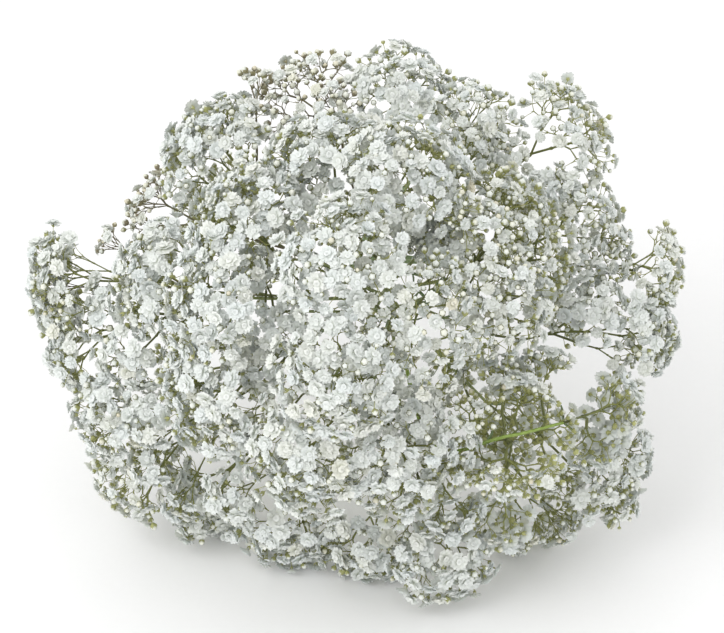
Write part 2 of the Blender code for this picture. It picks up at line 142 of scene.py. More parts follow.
class Look:
    """A material in the making."""

    def __init__(self, name):
        self.material = bpy.data.materials.new(name)
        self.material.use_nodes = True
        self.tree = self.material.node_tree
        self.shader = self.tree.nodes["Principled BSDF"]

    def fill(self, sockets, name, value):
        if isinstance(value, Signal):
            self.tree.links.new(value.socket, sockets[name])
        else:
            sockets[name].default_value = value

    def node(self, kind, settings, values, output=0):
        made = self.tree.nodes.new(kind)
        for name, value in settings.items():
            if name == "stops":
                while len(made.color_ramp.elements) < len(value):
                    made.color_ramp.elements.new(1)
                for stop, (place, colour) in zip(made.color_ramp.elements, value):
                    stop.position = place
                    stop.color = (*colour, 1)
            else:
                setattr(made, name, value)
        for name, value in values.items():
            self.fill(made.inputs, name, value)
        return Signal(self, made.outputs[output])

    def along_map(self):
        """The two directions of the piece's own map: its tone, and the way from foot to tip."""
        place = self.node("ShaderNodeUVMap", {"uv_map": "OFBake"}, {})
        parts = {"Vector": place}
        tone = self.node("ShaderNodeSeparateXYZ", {}, parts, "X")
        way = self.node("ShaderNodeSeparateXYZ", {}, parts, "Y")
        return tone, way

    def spot(self, x, y):
        return self.node("ShaderNodeCombineXYZ", {}, {"X": x, "Y": y})

    def sine(self, value):
        return self.node("ShaderNodeMath", {"operation": "SINE"}, {0: value})

    def grain(self, spot, detail):
        settings = {"noise_dimensions": "2D"}
        return self.node("ShaderNodeTexNoise", settings, {"Vector": spot, "Scale": 1, "Detail": detail})

    def ramp(self, value, *stops):
        return self.node("ShaderNodeValToRGB", {"stops": stops}, {"Fac": value})

    def mix(self, share, first, second):
        first, second = [c if isinstance(c, Signal) else (*c, 1) for c in (first, second)]
        return self.node("ShaderNodeMix", {"data_type": "RGBA"}, {0: share, 6: first, 7: second}, 2)

    def bump(self, height, strength, depth):
        values = {"Height": height, "Strength": strength, "Distance": depth}
        return self.node("ShaderNodeBump", {}, values)

    def finish(self, **values):
        for name, value in values.items():
            self.fill(self.shader.inputs, name.replace("_", " "), value)
        return self.material


# %% [markdown]
# A gypsophila petal is thin, cool white and a little crumpled, with fine veins that run from its
# narrow green foot to its notched tip. Every flower differs a little: most are cool white, some are
# creamy and a few go beige as they fade. Both facts are read from the piece's own map. Its first
# direction is the flower's tone and its second the way along the petal, so thousands of petals
# share one small map, and the veins follow each petal wherever it points.

# %% Petals
VEINS = 60
petal_look = Look("petal")
tone, way = petal_look.along_map()
white = petal_look.ramp(
    tone,
    (0.0, (0.78, 0.815, 0.81)),
    (0.30, (0.81, 0.835, 0.81)),
    (0.60, (0.83, 0.84, 0.785)),
    (0.76, (0.82, 0.81, 0.69)),
    (0.90, (0.72, 0.66, 0.52)),
    (1.0, (0.52, 0.40, 0.28)),
)
foot_share = (1 - way) ** 2.4
vein = petal_look.sine(tone * (VEINS * math.tau))
crumple = petal_look.grain(petal_look.spot(tone * 70, way * 9), 3)
shade = petal_look.mix(foot_share * 0.45, white, (0.52, 0.58, 0.33))
shade = petal_look.mix(vein * 0.06 + 0.06, shade, (0.60, 0.66, 0.56))
petal = petal_look.finish(
    Base_Color=shade,
    Roughness=crumple * 0.25 + 0.45,
    Normal=petal_look.bump(vein * 0.3 + crumple, 0.22, 0.12 * MM),
    Sheen_Weight=0.15,
    Sheen_Roughness=0.5,
    Specular_IOR_Level=0.3,
)
print("Material", petal.name)

# %% [markdown]
# The twigs go from a brownish olive where they are old to a fresh green just under each flower, and
# the small cups under the flowers are green with pale, papery teeth. On a few sprays the twigs have
# dried to brown grey. The map's second direction again runs from foot to tip, and its first one
# says how dry the twig is.

# %% Twigs and flower cups
twig_look = Look("twig")
tone, way = twig_look.along_map()
fresh = twig_look.ramp(
    way,
    (0.0, (0.130, 0.150, 0.055)),
    (0.35, (0.275, 0.300, 0.090)),
    (0.70, (0.410, 0.425, 0.150)),
    (0.86, (0.450, 0.465, 0.180)),
    (0.95, (0.480, 0.490, 0.220)),
    (1.0, (0.600, 0.620, 0.450)),
)
dry = twig_look.ramp(
    way,
    (0.0, (0.150, 0.125, 0.085)),
    (0.70, (0.250, 0.210, 0.145)),
    (0.90, (0.300, 0.255, 0.175)),
    (1.0, (0.480, 0.430, 0.320)),
)
streak = twig_look.grain(twig_look.spot(tone * 90, way * 14), 2)
dryness = twig_look.node("ShaderNodeMapRange", {}, {"Value": tone, "From Min": 0.45, "From Max": 0.95})
shade = twig_look.mix(dryness, fresh, dry)
shade = twig_look.mix(streak * 0.35, shade, (0.125, 0.125, 0.045))
twig = twig_look.finish(
    Base_Color=shade,
    Roughness=streak * 0.3 + 0.4,
    Normal=twig_look.bump(streak, 0.4, 0.1 * MM),
    Specular_IOR_Level=0.35,
)
print("Material", twig.name)

# %% [markdown]
# The main stem and the branches are smooth, hairless and a little waxy, which makes their green look
# grey. Fine ribs and fibres run along them. Here the map's second direction is the way along the
# stem and its first one the way round it. The first hundredth of the way is kept for the pale cut
# end, with its rings.

# %% Stems
CUT_FACE = 0.01
CUT_RINGS = 6
RIBS = 9


def stem_skin(name, dark, middle, light):
    look = Look(name)
    turn, way = look.along_map()
    rib = look.sine(turn * (RIBS * math.tau))
    patch = look.grain(look.spot(turn * 5, way * 60), 4)
    fibre = look.grain(look.spot(turn * 60, way * 18), 2)
    shade = look.ramp(patch, (0.3, dark), (0.5, middle), (0.7, light))
    shade = look.mix(fibre * 0.4, shade, dark)
    cut_ring = look.sine(way * (CUT_RINGS * math.tau / CUT_FACE))
    cut_shade = look.mix(cut_ring * 0.3 + 0.4, (0.48, 0.46, 0.26), (0.30, 0.32, 0.14))
    return look.finish(
        Base_Color=look.mix(way < CUT_FACE, shade, cut_shade),
        Roughness=patch * 0.3 + 0.32,
        Normal=look.bump(rib * 0.6 + fibre, 0.35, 0.2 * MM),
        Coat_Weight=0.08,
    )


stem_green = stem_skin("stem", (0.17, 0.205, 0.065), (0.265, 0.310, 0.120), (0.345, 0.385, 0.190))
bright_green = stem_skin("young stem", (0.21, 0.31, 0.05), (0.30, 0.42, 0.08), (0.42, 0.54, 0.16))
print("Materials", stem_green.name, "and", bright_green.name)

# %% [markdown]
# The leaves are narrow and deep green, with a paler midrib and side veins that run almost along the
# blade. Their map runs across the blade from edge to edge and along it from foot to tip.

# %% Leaves
leaf_look = Look("leaf")
across, way = leaf_look.along_map()
from_rib = leaf_look.node("ShaderNodeMath", {"operation": "ABSOLUTE"}, {0: across * 2 - 1})
side_vein = leaf_look.sine(from_rib * 38 + way * 20)
mottle = leaf_look.grain(leaf_look.spot(across * 12, way * 30), 4)
shade = leaf_look.ramp(
    mottle,
    (0.35, (0.105, 0.165, 0.060)),
    (0.65, (0.190, 0.265, 0.120)),
)
shade = leaf_look.mix(side_vein * 0.08 + 0.08, shade, (0.26, 0.34, 0.17))
shade = leaf_look.mix((1 - from_rib) ** 9 * 0.8, shade, (0.36, 0.42, 0.23))
leaf_green = leaf_look.finish(
    Base_Color=shade,
    Roughness=mottle * 0.25 + 0.4,
    Normal=leaf_look.bump(side_vein * 0.4 + mottle, 0.4, 0.2 * MM),
)
print("Material", leaf_green.name)

# %% [markdown]
# The floor is a large pale sheet under the plant and the light is that of a white studio: a bright
# even surround, and one large soft lamp in front and above, beside the camera, so that the shadows
# fall behind the head.

# %% Floor and light
FLOOR_HALF = 6.0
KEY_SIZE = 1.6
KEY_POWER = 23
KEY_PLACE = (-1.3, -1.5, 2.0)
floor_mesh = bpy.data.meshes.new("floor")
corners = [(x * FLOOR_HALF, y * FLOOR_HALF, 0) for x, y in ((-1, -1), (1, -1), (1, 1), (-1, 1))]
floor_mesh.from_pydata(corners, [], [(0, 1, 2, 3)])
floor = placed("floor", floor_mesh)
floor_look = Look("floor")
place = floor_look.node("ShaderNodeTexCoord", {}, {}, "Object")
fleck = floor_look.node("ShaderNodeTexNoise", {}, {"Vector": place, "Scale": 300, "Detail": 2})
paper = floor_look.ramp(fleck, (0.0, (0.93, 0.93, 0.93)), (1.0, (0.95, 0.95, 0.95)))
floor_mesh.materials.append(floor_look.finish(Base_Color=paper, Roughness=0.9))

world = bpy.data.worlds.new("studio")
world.use_nodes = True
surround = world.node_tree.nodes["Background"].inputs
surround["Color"].default_value = (1, 1, 1, 1)
surround["Strength"].default_value = 1.0
bpy.context.scene.world = world
key = bpy.data.lights.new("key", "AREA")
key.size = KEY_SIZE
key.energy = KEY_POWER
lamp = placed("key", key)
lamp.location = KEY_PLACE
to_head = HEAD_MIDDLE - np.array(KEY_PLACE)
lamp.rotation_euler = (
    math.atan2(math.hypot(to_head[0], to_head[1]), -to_head[2]),
    0,
    math.atan2(-to_head[0], to_head[1]),
)
bpy.context.scene.view_settings.view_transform = "Standard"
print("Floor and light are up")

# %% [markdown]
# The solids say where everything goes, but only as triangles. Three things are read from them. A
# flat face is a set of triangles in one plane. The six-sided tops of the flower cups are such faces,
# and so are the ends of the tubes. From a tube's end the rings of its corners are found one by one,
# by stepping from corner to neighbouring corner, and their middles give the tube's centre line.

# %% Reading the solids
SAME_WAY = 0.9995
SAME_PLANE = 0.05 * MM
SAME_AREA = 0.02
FACE_REACH = 12 * MM


def unit(vectors):
    return vectors / np.linalg.norm(vectors, axis=-1, keepdims=True)


def nodes_of(kind):
    return [node for node in sorted(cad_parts) if node.startswith(kind + "_")]


def solid(node):
    """A solid's corners, each place once, and its triangles."""
    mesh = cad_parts[node].data
    mesh.calc_loop_triangles()
    places = np.empty(len(mesh.vertices) * 3)
    mesh.vertices.foreach_get("co", places)
    triangles = np.empty(len(mesh.loop_triangles) * 3, int)
    mesh.loop_triangles.foreach_get("vertices", triangles)
    places, same = np.unique(places.reshape(-1, 3).round(8), axis=0, return_inverse=True)
    return places, same.reshape(-1)[triangles].reshape(-1, 3)


def flat_faces(places, triangles, area):
    """The flat faces of about this area: the middle, the facing and the corners of each."""
    a, b, c = places[triangles].transpose(1, 0, 2)
    crossed = np.cross(b - a, c - a)
    areas = np.linalg.norm(crossed, axis=1) / 2
    normals = crossed / np.maximum(areas * 2, 1e-15)[:, None]
    middles = (a + b + c) / 3
    free = np.ones(len(triangles), bool)
    found = []
    for i in np.argsort(-areas):
        if not free[i]:
            continue
        apart = middles - middles[i]
        face = free & (normals @ normals[i] > SAME_WAY)
        face &= np.abs(apart @ normals[i]) < SAME_PLANE
        face &= np.linalg.norm(apart, axis=1) < FACE_REACH
        free &= ~face
        if abs(areas[face].sum() / area - 1) < SAME_AREA:
            corners = np.unique(triangles[face])
            found.append((places[corners].mean(0), normals[i], corners))
    return found


def polygon_area(sides, radius):
    return sides / 2 * math.sin(math.tau / sides) * radius**2


def rings(node, sides, radius):
    """The centre line and radii of a solid tube, from the end that has this radius."""
    places, triangles = solid(node)
    ends = flat_faces(places, triangles, polygon_area(sides, radius))
    ring = set(min((end for end in ends if len(end[2]) == sides), key=lambda end: end[2][0])[2])
    neighbours = [set() for _ in places]
    for one, two, three in triangles:
        neighbours[one] |= {two, three}
        neighbours[two] |= {one, three}
        neighbours[three] |= {one, two}
    seen = set(ring)
    line = []
    while ring:
        corners = places[sorted(ring)]
        middle = corners.mean(0)
        line.append((middle, np.linalg.norm(corners - middle, axis=1).mean()))
        ring = set().union(*(neighbours[corner] for corner in ring)) - seen
        seen |= ring
    return np.array([place for place, _ in line]), np.array([size for _, size in line])


# %% [markdown]
# Each spray's cups and the first stretch of its twig are all that is needed to grow it again in
# detail. The cups stand on a shallow dome, so the dome's axis, middle and radius follow from them.

# %% Where each spray stands
CUP_RADIUS = 5.6 * MM
CUP_SIDES = 6
TWIG_RADIUS = 0.8 * MM
TWIG_SIDES = 4
DOME_HEIGHT = 0.45
FORK_SHARE = 0.42
# A direction to turn others from, because hardly anything runs along it
ASKEW = np.array((0.31, 0.17, 0.93))

# Every spray whose name isn't here is a full one
SPRAY_HABITS = {
    "dry": "top_twiggy left_twiggy",
    "airy": "far_umbel top_right right_high right_shoulder corner_left bottom_right front_right"
    " heart_right",
    "budding": "front_right_high front_right_low back_left_high back_right_high back_left_low"
    " back_right_low",
}
HABIT_OF = {"spray_" + name: habit for habit, names in SPRAY_HABITS.items() for name in names.split()}

# Millimetres aside and up by which a few sprays at the rim bloom beside their solid's middle
NUDGES = {
    "spray_bottom_tip": (-8, 9),
    "spray_bottom_right": (-2, 2),
    "spray_corner_left": (0, 3),
    "spray_far_umbel": (3, -6),
    "spray_top": (0, -3),
    "spray_peak_left": (4, -3),
    "spray_left_twiggy": (3, -2),
    "spray_right_low": (-6, 5),
    "spray_right_shoulder": (-5, -3),
}


class Spray:
    """Where one spray's twig starts, and the dome that its flowers stand on."""

    def __init__(self, name, twig, middle, radius, habit, *nodes):
        self.name = name
        self.twig = twig
        self.axis = unit(middle - twig[0])
        self.middle = middle
        self.radius = radius
        self.habit = habit
        self.nodes = nodes
        self.fork = twig[0] + (middle - twig[0]) * FORK_SHARE
        self.first = unit(np.cross(self.axis, ASKEW))
        self.second = np.cross(self.axis, self.first)


def read_spray(node):
    cups = flat_faces(*solid(node), polygon_area(CUP_SIDES, CUP_RADIUS))
    tops = np.array([middle for middle, _, _ in cups])
    twig = rings(node, TWIG_SIDES, TWIG_RADIUS)[0][:3]
    axis = unit(tops.mean(0) - twig[0])
    across = tops - tops.mean(0)
    across -= np.outer(across @ axis, axis)
    reach = math.sqrt((len(tops) - 0.5) / len(tops))
    radius = np.linalg.norm(across, axis=1).max() / reach
    middle = tops.mean(0) - axis * DOME_HEIGHT / 2 * radius
    aside, up = NUDGES.get(node, (0, 0))
    middle += (SIDE * aside + RISE * up) * MM
    return Spray(node, twig, middle, radius, HABIT_OF.get(node, "full"), node)


sprays = [read_spray(node) for node in nodes_of("spray")]
for spray in sprays:
    print(f"{spray.name}: radius {spray.radius / MM:.0f} mm, {spray.habit}")

# %% [markdown]
# The solids are only the larger sprays. On the real plant, smaller ones grow out of the same
# branches and fill the room between, so that the head looks like one white cloud. A table says where
# each of them blooms, measured from the middle of the head. Each starts from the branch or twig that
# lies best for it: near, and already heading its way. The green ones are young shoots deep inside,
# which carry buds and hardly any flowers.

# %% Side blooms
# Each: millimetres aside, up and out from the middle of the head, its radius, and its habit
SIDE_BLOOMS = (
    (132, 17, 23, 24, "full"), (-128, -18, 20, 22, "full"), (-150, 13, 2, 19, "full"),
    (-99, 89, 15, 18, "airy"), (85, 100, 12, 15, "airy"), (149, -13, 8, 15, "budding"),
    (-65, 111, 19, 17, "airy"), (-26, 78, 66, 18, "full"), (46, 46, 80, 17, "full"),
    (-120, -48, 20, 19, "full"), (101, -17, 50, 17, "full"), (-41, 5, 91, 17, "full"),
    (-164, 39, -4, 15, "full"), (141, 42, 4, 24, "airy"), (-110, 54, 26, 16, "full"),
    (-52, 36, 78, 17, "full"), (-12, 130, 14, 17, "dry"), (-85, 105, 12, 15, "airy"),
    (28, 56, 78, 16, "full"), (112, 35, 37, 17, "budding"), (-41, 62, 70, 16, "full"),
    (-56, -16, 80, 17, "full"), (108, 80, 16, 17, "full"), (70, 108, 18, 18, "airy"),
    (52, -100, 40, 22, "full"), (78, -104, 22, 20, "full"), (130, -62, 24, 19, "full"),
    (10, -2, 108, 18, "green"), (88, 66, 64, 24, "green"), (68, 40, 82, 20, "green"),
    (60, -42, 86, 20, "green"), (78, -58, 50, 20, "green"), (0, 62, 66, 22, "green"),
    (-52, 30, 60, 20, "green"), (-52, -46, 62, 20, "green"), (0, -66, 58, 20, "green"),
    (34, 102, 40, 20, "green"), (-92, -8, 44, 20, "green"), (112, 18, 20, 20, "green"),
    (-62, 88, 34, 20, "green"), (30, -104, 14, 20, "green"), (88, -34, 66, 22, "budding"),
    (106, -52, 48, 20, "budding"), (96, 18, 66, 17, "full"), (-58, 145, -6, 12, "dry"),
    (0, 50, -40, 30, "airy"), (-54, 44, -30, 28, "budding"), (52, 44, -30, 28, "budding"),
    (-112, 26, -28, 26, "airy"), (112, 14, -34, 28, "budding"), (-64, -16, -34, 28, "airy"),
    (56, -20, -30, 28, "budding"), (-4, -30, -20, 28, "budding"), (-24, -78, -30, 26, "airy"),
    (36, -74, -24, 26, "airy"), (-120, -62, -38, 24, "airy"), (116, -86, -34, 22, "budding"),
    (-98, 104, -30, 20, "airy"), (-4, 108, -40, 28, "airy"), (62, 106, -40, 26, "airy"),
    (110, 72, -44, 20, "airy"), (80, -22, 72, 17, "full"), (12, -44, 98, 18, "full"),
    (36, -40, 92, 17, "full"), (-118, -78, -2, 16, "full"), (-72, -92, 10, 18, "full"),
    (-100, -98, -14, 15, "full"), (-96, -112, -34, 12, "full"), (150, -102, -16, 14, "airy"),
    (-176, 26, -10, 10, "dry"), (-164, 16, 12, 15, "green"), (44, 32, 113, 18, "green"),
    (60, 60, 99, 18, "green"), (84, 36, 98, 18, "green"), (20, -8, 124, 15, "green"),
    (8, 86, 44, 20, "airy"), (40, 82, 54, 18, "budding"), (-26, -14, 88, 16, "full"),
    (74, 14, 68, 18, "budding"), (-88, 16, 60, 17, "full"), (118, -112, -30, 14, "airy"),
    (-141, 52, -6, 12, "dry"), (148, -38, 14, 16, "airy"), (50, 60, 66, 20, "budding"),
)
STEM_FOOT_RADIUS = 2.6 * MM
STEM_SIDES = 8
BRANCH_FOOT_RADIUS = 1.25 * MM
BRANCH_SIDES = 6
HOST_SHARES = (0, 0.25, 0.5, 0.75)
LEAVING = 5 * MM
# What makes a host worse than its distance: lying across the way, and standing inside the bloom
AGAINST_THE_WAY = 0.6
TOO_NEAR = 1.0

branch_lines = {node: rings(node, BRANCH_SIDES, BRANCH_FOOT_RADIUS) for node in nodes_of("branch")}
host_lines = [line for line, _ in branch_lines.values()]
host_lines += [np.array((*spray.twig[1:], spray.fork)) for spray in sprays]
hosts = []
for line in host_lines:
    for start, stop in zip(line, line[1:]):
        for share in HOST_SHARES:
            hosts.append((start + (stop - start) * share, unit(stop - start)))
host_places, host_ways = [np.array(part) for part in zip(*hosts)]


def side_bloom(aside, up, out, radius, habit):
    """A bloom on the host that costs least to reach it from."""
    middle = HEAD_MIDDLE + (SIDE * aside + RISE * up + OUT * out) * MM
    gaps = middle - host_places
    far = np.linalg.norm(gaps, axis=1)
    ahead = (gaps * host_ways).sum(1) / far
    cost = far * (1 + AGAINST_THE_WAY * (1 - ahead)) + TOO_NEAR * (far < radius * MM)
    host = int(np.argmin(cost))
    foot = host_places[host]
    leaves = unit(host_ways[host] + unit(gaps[host])) * LEAVING
    twig = np.array((foot, foot + leaves * 0.5, foot + leaves))
    return Spray("side bloom", twig, middle, radius * MM, habit)


side_blooms = [side_bloom(*row) for row in SIDE_BLOOMS]
print(len(side_blooms), "side blooms")

# %% [markdown]
# All small shapes, whether petals, cups, buds or twigs, are gathered as arrays of points and faces
# and become one mesh for each piece. This is many times faster than one object for each flower. A
# shape also says where its points lie in the map: how far across, and how far along.

# %% Gathering shapes into pieces
ABOVE_FLOOR = 0.1 * MM
# How much of the map's first direction a small green thing takes up
GREEN_SPREAD = 0.02

made_triangles = []


def finished(mesh, spots, material):
    """The object of a mesh, with each corner's place in the map and its material."""
    corners = np.empty(len(mesh.loops), int)
    mesh.loops.foreach_get("vertex_index", corners)
    mesh.uv_layers.new(name="OFBake").data.foreach_set("uv", spots[corners].ravel())
    mesh.shade_smooth()
    mesh.materials.append(material)
    return placed(mesh.name, mesh)


class Shape:
    """A small shape at the origin, facing up, with its place in the map."""

    def __init__(self):
        self.points = []
        self.faces = []
        self.across = []
        self.along = []

    def add(self, points, faces, across, along):
        first = len(self.points)
        self.points += [tuple(point) for point in points]
        self.faces += [tuple(first + corner for corner in face) for face in faces]
        self.across += list(across)
        self.along += list(along)
        return self

    def triangles(self):
        return sum(len(face) - 2 for face in self.faces)


class Heap:
    """Points and faces of many shapes, to become one mesh."""

    def __init__(self):
        self.points = []
        self.maps = []
        self.corners = []
        self.counts = []
        self.total = 0

    def add(self, points, corners, counts, maps):
        self.points.append(points)
        self.maps.append(maps)
        self.corners.append(corners + self.total)
        self.counts.append(counts)
        self.total += len(points)

    def place(self, shape, places, facings, sizes, spins, tones, spread):
        """Adds a copy of the shape at each place, facing its way, turned by its spin."""
        if not len(places):
            return
        side = unit(np.cross(facings, ASKEW))
        back = np.cross(facings, side)
        cosine = np.cos(spins)[:, None]
        sine = np.sin(spins)[:, None]
        axes = np.stack((side * cosine + back * sine, back * cosine - side * sine, facings), 1)
        points = np.array(shape.points)
        moved = np.einsum("pk,nkc->npc", points, axes) * sizes[:, None, None] + places[:, None]
        tones = tones[:, None] + np.array(shape.across)[None] * spread
        along = np.broadcast_to(np.array(shape.along), tones.shape)
        corners = np.array([corner for face in shape.faces for corner in face])
        counts = np.array([len(face) for face in shape.faces])
        steps = np.arange(len(places))[:, None] * len(points)
        maps = np.stack((tones, along), 2).reshape(-1, 2)
        self.add(moved.reshape(-1, 3), (corners + steps).ravel(), np.tile(counts, len(places)), maps)

    def tubes(self, lines, radii, sides, tones, along, width=GREEN_SPREAD):
        """Adds round tubes, all with the same number of points along them."""
        count, steps, _ = lines.shape
        ways = unit(np.gradient(lines, axis=1))
        side = unit(np.cross(ways, ASKEW))
        back = np.cross(ways, side)
        angles = np.arange(sides) * math.tau / sides
        turned = side[:, :, None] * np.cos(angles)[:, None] + back[:, :, None] * np.sin(angles)[:, None]
        points = lines[:, :, None] + turned * radii[:, :, None, None]
        ring, corner = np.meshgrid(np.arange(steps - 1), np.arange(sides), indexing="ij")
        here = ring * sides + corner
        after = ring * sides + (corner + 1) % sides
        faces = np.stack((here, after, after + sides, here + sides), 2).reshape(-1)
        starts = np.arange(count)[:, None] * steps * sides
        around = (np.arange(sides) / sides - 0.5) * width
        tone = np.broadcast_to(tones[:, None, None] + around, (count, steps, sides))
        way = np.broadcast_to(along[:, :, None], (count, steps, sides))
        maps = np.stack((tone, way), 3).reshape(-1, 2)
        total = count * (steps - 1) * sides
        self.add(points.reshape(-1, 3), (faces + starts).ravel(), np.full(total, 4), maps)

    def piece(self, name, material, slot, *nodes):
        """Makes the piece, which rides on the plant's one body and stands for its solids."""
        mesh = bpy.data.meshes.new(name)
        points = np.concatenate(self.points)
        points[:, 2] = np.maximum(points[:, 2], ABOVE_FLOOR)
        corners = np.concatenate(self.corners)
        counts = np.concatenate(self.counts)
        mesh.vertices.add(len(points))
        mesh.vertices.foreach_set("co", points.ravel())
        mesh.loops.add(len(corners))
        mesh.loops.foreach_set("vertex_index", corners)
        mesh.polygons.add(len(counts))
        mesh.polygons.foreach_set("loop_start", np.concatenate(([0], np.cumsum(counts)[:-1])))
        mesh.update(calc_edges=True)
        made = finished(mesh, np.concatenate(self.maps), material)
        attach(made, "root")
        if nodes:
            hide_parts(*nodes)
        made_triangles.append(int((counts - 2).sum()))


# %% [markdown]
# A double flower is a small pompon some nine millimetres across. Its petals stand in whorls: the
# outer ones lie flat and are broad and notched, and each whorl further in is shorter, narrower and
# more upright, around a small crumpled heart. Each petal is a narrow wedge of a few faces, cupped
# along its middle and ruffled at random. A few different flowers are made once and then copied,
# turned and resized, because nobody sees that two of a thousand are twins.

# %% Flowers
# Each whorl: how many petals, their length and half width in flower radii, how steeply they stand in
# degrees, how far they curl back, and how many rows of points they have
WHORLS = (
    (7, 1.00, 0.41, 8, 0.16, (0.42, 0.76, 1.0)),
    (6, 0.86, 0.39, 25, 0.16, (0.5, 1.0)),
    (5, 0.66, 0.34, 42, 0.16, (0.55, 1.0)),
)
# The petal's outline: its half width at shares of the way along it
PETAL_FORM = ((0.0, 0.10), (0.42, 0.62), (0.6, 0.84), (0.76, 1.0), (1.0, 0.70))
PETAL_FOOT = 0.06
PETAL_SIZES = (0.88, 1.08)
PETAL_LEAN = 0.05
PETAL_SHIFT = 0.22
PETAL_WOBBLE = 7
STEEPEST = 88
CUPPING = 0.18
NOTCH = 0.14
RUFFLE = 0.07
FLOWER_DROP = 0.06
# Each ring of the heart: its radius and height, by how much of a step it is turned, and its way
# along the map. Then how much its points vary, and the height and way of the dimple
HEART_RINGS = ((0.34, 0.285, 0.0, 0.75), (0.153, 0.418, 0.5, 0.9))
HEART_SIDES = 6
HEART_REACHES = (0.8, 1.25)
HEART_RISES = (0.85, 1.2)
DIMPLE = 0.209
DIMPLE_WAY = 0.4
OPEN_RAISED = (-4, 0, 2, 5, 8, 12)
HALF_OPEN_RAISED = (24, 34)
HALF_OPEN_WIDTH = 0.85


def petal_points(length, half_width, curl, rows):
    """A petal that lies along X: its foot, then rows of left edge, middle and right edge."""
    points = [(0, 0, 0)]
    across = [0.0]
    along = [0.0]
    lean = rng.normal(0, PETAL_LEAN)
    for row in rows:
        half = half_width * np.interp(row, *zip(*PETAL_FORM))
        for side in (-1, 0, 1):
            reach = length * (row - (NOTCH if side == 0 and row == 1.0 else 0))
            dip = CUPPING * half_width * (abs(side) - 0.5)
            ruffle = rng.normal(0, RUFFLE * row)
            lift = dip + ruffle - curl * row**2 * length
            points.append((reach, side * half + lean * row, lift))
            across.append(side)
            along.append(row)
    faces = [(0, 2, 1), (0, 3, 2)]
    for start in range(1, 1 + 3 * (len(rows) - 1), 3):
        faces += [(start, start + 1, start + 4, start + 3), (start + 1, start + 2, start + 5, start + 4)]
    return np.array(points), faces, across, along


def add_heart(shape):
    """Adds the flower's heart: two rings of points, each a little out of place, and a dimple."""
    points = []
    along = []
    for radius, height, turn, way in HEART_RINGS:
        for step in range(HEART_SIDES):
            angle = (step + turn) * math.tau / HEART_SIDES
            reach = radius * rng.uniform(*HEART_REACHES)
            rise = height * rng.uniform(*HEART_RISES)
            points.append((reach * math.cos(angle), reach * math.sin(angle), rise))
            along.append(way)
    points.append((0, 0, DIMPLE))
    along.append(DIMPLE_WAY)
    faces = []
    for step in range(HEART_SIDES):
        after = (step + 1) % HEART_SIDES
        faces.append((step, after, HEART_SIDES + step))
        faces.append((after, HEART_SIDES + after, HEART_SIDES + step))
        faces.append((HEART_SIDES + step, HEART_SIDES + after, 2 * HEART_SIDES))
    shape.add(points, faces, np.resize((-1, 1), len(points)), along)


def flower(raised, spread=1.0):
    """A double flower. Raised is how much steeper than fully open its petals stand, in degrees."""
    shape = Shape()
    for count, length, half_width, stands, curl, rows in WHORLS:
        start = rng.uniform(0, math.tau)
        for step in range(count):
            size = rng.uniform(*PETAL_SIZES)
            points, faces, across, along = petal_points(length * size, half_width * spread, curl, rows)
            tilt = math.radians(min(stands + raised + rng.normal(0, PETAL_WOBBLE), STEEPEST))
            x = points[:, 0] * math.cos(tilt) - points[:, 2] * math.sin(tilt) + PETAL_FOOT
            y = points[:, 1]
            z = points[:, 0] * math.sin(tilt) + points[:, 2] * math.cos(tilt) - FLOWER_DROP
            angle = start + (step + rng.uniform(-PETAL_SHIFT, PETAL_SHIFT)) * math.tau / count
            cosine, sine = math.cos(angle), math.sin(angle)
            turned = np.column_stack((x * cosine - y * sine, x * sine + y * cosine, z))
            shift = rng.uniform(-1, 1)
            shape.add(turned, faces, [side + shift for side in across], along)
    add_heart(shape)
    return shape


open_flowers = [flower(raised) for raised in OPEN_RAISED]
half_open_flowers = [flower(raised, HALF_OPEN_WIDTH) for raised in HALF_OPEN_RAISED]
print(f"A flower has {open_flowers[0].triangles()} triangles")

# %% [markdown]
# Under the petals sits a small bell-shaped green cup with five teeth. A bud is the same cup with a
# round white tip that is still closed.

# %% Cups and buds
# Each ring: its radius and its height, in flower radii below the petals
FLOWER_CUP = ((0.08, -0.52), (0.24, -0.34))
FLOWER_TEETH = (0.34, 0.02)
BUD_BODY = ((0.55, -0.55), (0.96, 0.0), (0.72, 0.58))
BUD_TIP = 1.08
BUD_CUP = ((0.30, -1.15), (1.02, -0.42))
BUD_TEETH = (1.0, 0.35)
# How far along the map each ring of a cup and of a bud lies, then the teeth and the tip
CUP_WAYS = (0.86, 0.92, 1.0)
BUD_WAYS = (0.08, 0.28, 0.48)
BUD_TIP_WAY = 0.7
BUD_SIDES = 5


def ring_points(radius, height, turn=0.0):
    angles = np.arange(BUD_SIDES) * math.tau / BUD_SIDES + turn
    return [(radius * math.cos(angle), radius * math.sin(angle), height) for angle in angles]


def bell(lower, upper, teeth):
    """A small cup: two rings from its foot up, then pointed teeth."""
    points = ring_points(*lower) + ring_points(*upper) + ring_points(*teeth, math.pi / BUD_SIDES)
    faces = []
    for i in range(BUD_SIDES):
        j = (i + 1) % BUD_SIDES
        faces.append((i, j, BUD_SIDES + j, BUD_SIDES + i))
        faces.append((BUD_SIDES + i, BUD_SIDES + j, 2 * BUD_SIDES + i))
    along = np.repeat(CUP_WAYS, BUD_SIDES)
    return Shape().add(points, faces, np.resize((-1, 0, 1), len(points)), along)


